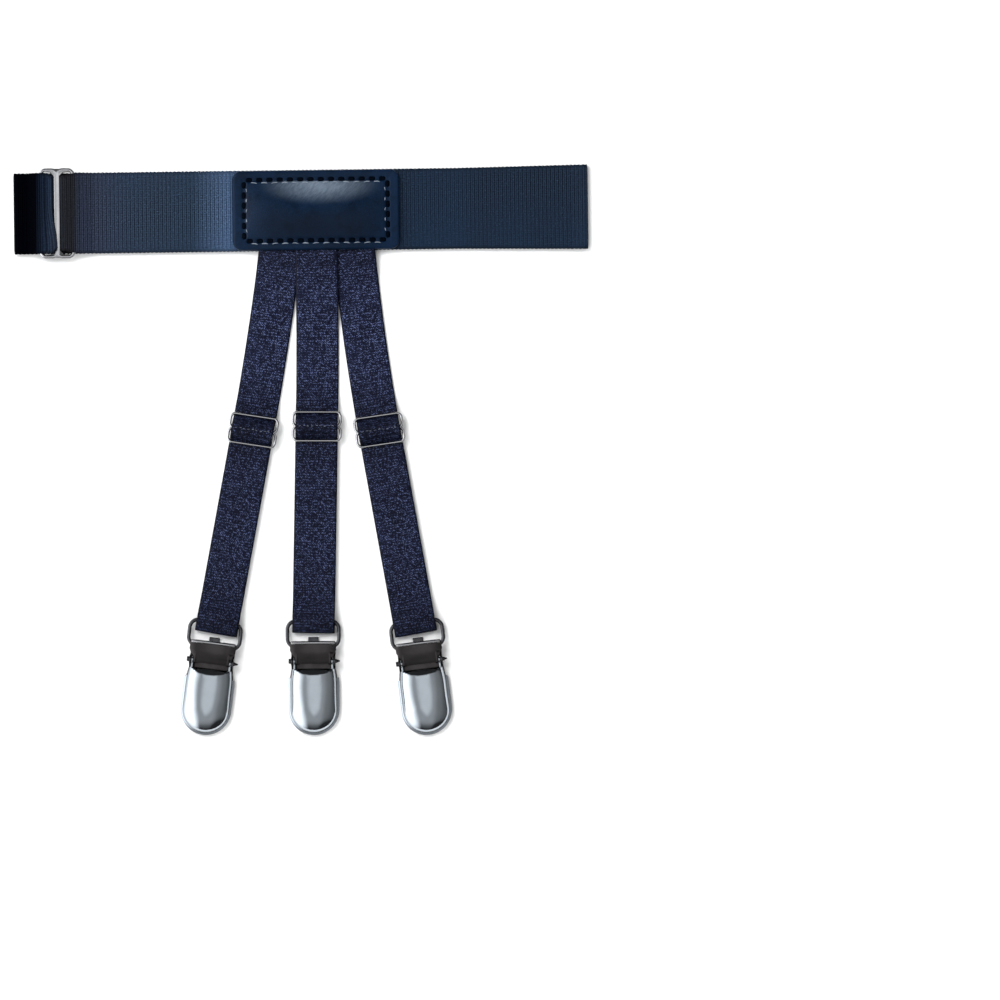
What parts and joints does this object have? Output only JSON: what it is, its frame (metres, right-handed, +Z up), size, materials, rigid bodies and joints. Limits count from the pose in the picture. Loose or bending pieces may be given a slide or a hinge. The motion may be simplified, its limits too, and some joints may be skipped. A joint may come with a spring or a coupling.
{
  "type": "shirt stay",
  "caption": "Elastic thigh band with a slider and a leather patch, from which narrow adjustable elastic straps fan out to hinged metal clips that hold a shirt's hem down.",
  "frame": {"origin": "on the surface that the stay lies on, below the middle of its outline seen from above", "axes": "+X along the thigh band towards its right fold, +Y from the clips towards the band, +Z up from the surface"},
  "size_m": [0.2702, 0.268, 0.0085],
  "materials": {
    "band": "ribbed navy elastic",
    "strap": "satin navy elastic with a plush face",
    "leather": "smooth glossy navy leather",
    "slider": "nickel plated",
    "loop_wire": "dark nickel plated wire",
    "clip_plate": "dark nickel plated sheet",
    "clip_cover": "polished chrome plate"
  },
  "bodies": {
    "root": {"thigh_band": "band", "band_slider": "slider", "leather_patch": "leather", "left_strap": "strap", "left_strap_slider": "slider", "left_wire_loop": "loop_wire", "middle_strap": "strap", "middle_strap_slider": "slider", "middle_wire_loop": "loop_wire", "right_strap": "strap", "right_strap_slider": "slider", "right_wire_loop": "loop_wire"},
    "left_clip": {"left_clip_base": "clip_plate"},
    "left_lever": {"left_clip_lever": "clip_plate"},
    "left_jaw": {"left_clip_cover": "clip_cover"},
    "middle_clip": {"middle_clip_base": "clip_plate"},
    "middle_lever": {"middle_clip_lever": "clip_plate"},
    "middle_jaw": {"middle_clip_cover": "clip_cover"},
    "right_clip": {"right_clip_base": "clip_plate"},
    "right_lever": {"right_clip_lever": "clip_plate"},
    "right_jaw": {"right_clip_cover": "clip_cover"}
  },
  "joints": [
    {"name": "left_clip_swing", "type": "hinge", "parent": "root", "child": "left_clip", "pos_m": [-0.04109, -0.09276, 0.0022], "axis": [-0.9925, 0.1219, 0], "range_deg": [0, 90]},
    {"name": "left_lever_lift", "type": "hinge", "parent": "left_clip", "child": "left_lever", "pos_m": [-0.0419, -0.09931, 0.0042], "axis": [0.9925, -0.1219, 0], "range_deg": [0, 90]},
    {"name": "left_jaw_open", "type": "hinge", "parent": "left_clip", "child": "left_jaw", "pos_m": [-0.0419, -0.09931, 0.0042], "axis": [-0.9925, 0.1219, 0], "range_deg": [0, 20]},
    {"name": "middle_clip_swing", "type": "hinge", "parent": "root", "child": "middle_clip", "pos_m": [0.00519, -0.09258, 0.0022], "axis": [-1, 0.0087, 0], "range_deg": [0, 90]},
    {"name": "middle_lever_lift", "type": "hinge", "parent": "middle_clip", "child": "middle_lever", "pos_m": [0.00513, -0.09918, 0.0042], "axis": [1, -0.0087, 0], "range_deg": [0, 90]},
    {"name": "middle_jaw_open", "type": "hinge", "parent": "middle_clip", "child": "middle_jaw", "pos_m": [0.00513, -0.09918, 0.0042], "axis": [-1, 0.0087, 0], "range_deg": [0, 20]},
    {"name": "right_clip_swing", "type": "hinge", "parent": "root", "child": "right_clip", "pos_m": [0.05538, -0.09276, 0.0022], "axis": [-0.9925, -0.1219, 0], "range_deg": [0, 90]},
    {"name": "right_lever_lift", "type": "hinge", "parent": "right_clip", "child": "right_lever", "pos_m": [0.05618, -0.09931, 0.0042], "axis": [0.9925, 0.1219, 0], "range_deg": [0, 90]},
    {"name": "right_jaw_open", "type": "hinge", "parent": "right_clip", "child": "right_jaw", "pos_m": [0.05618, -0.09931, 0.0042], "axis": [-0.9925, -0.1219, 0], "range_deg": [0, 20]}
  ],
  "couplings": [
    {"joint": "left_lever_lift", "follows": "left_jaw_open", "ratio": 4.5},
    {"joint": "middle_lever_lift", "follows": "middle_jaw_open", "ratio": 4.5},
    {"joint": "right_lever_lift", "follows": "right_jaw_open", "ratio": 4.5}
  ]
}
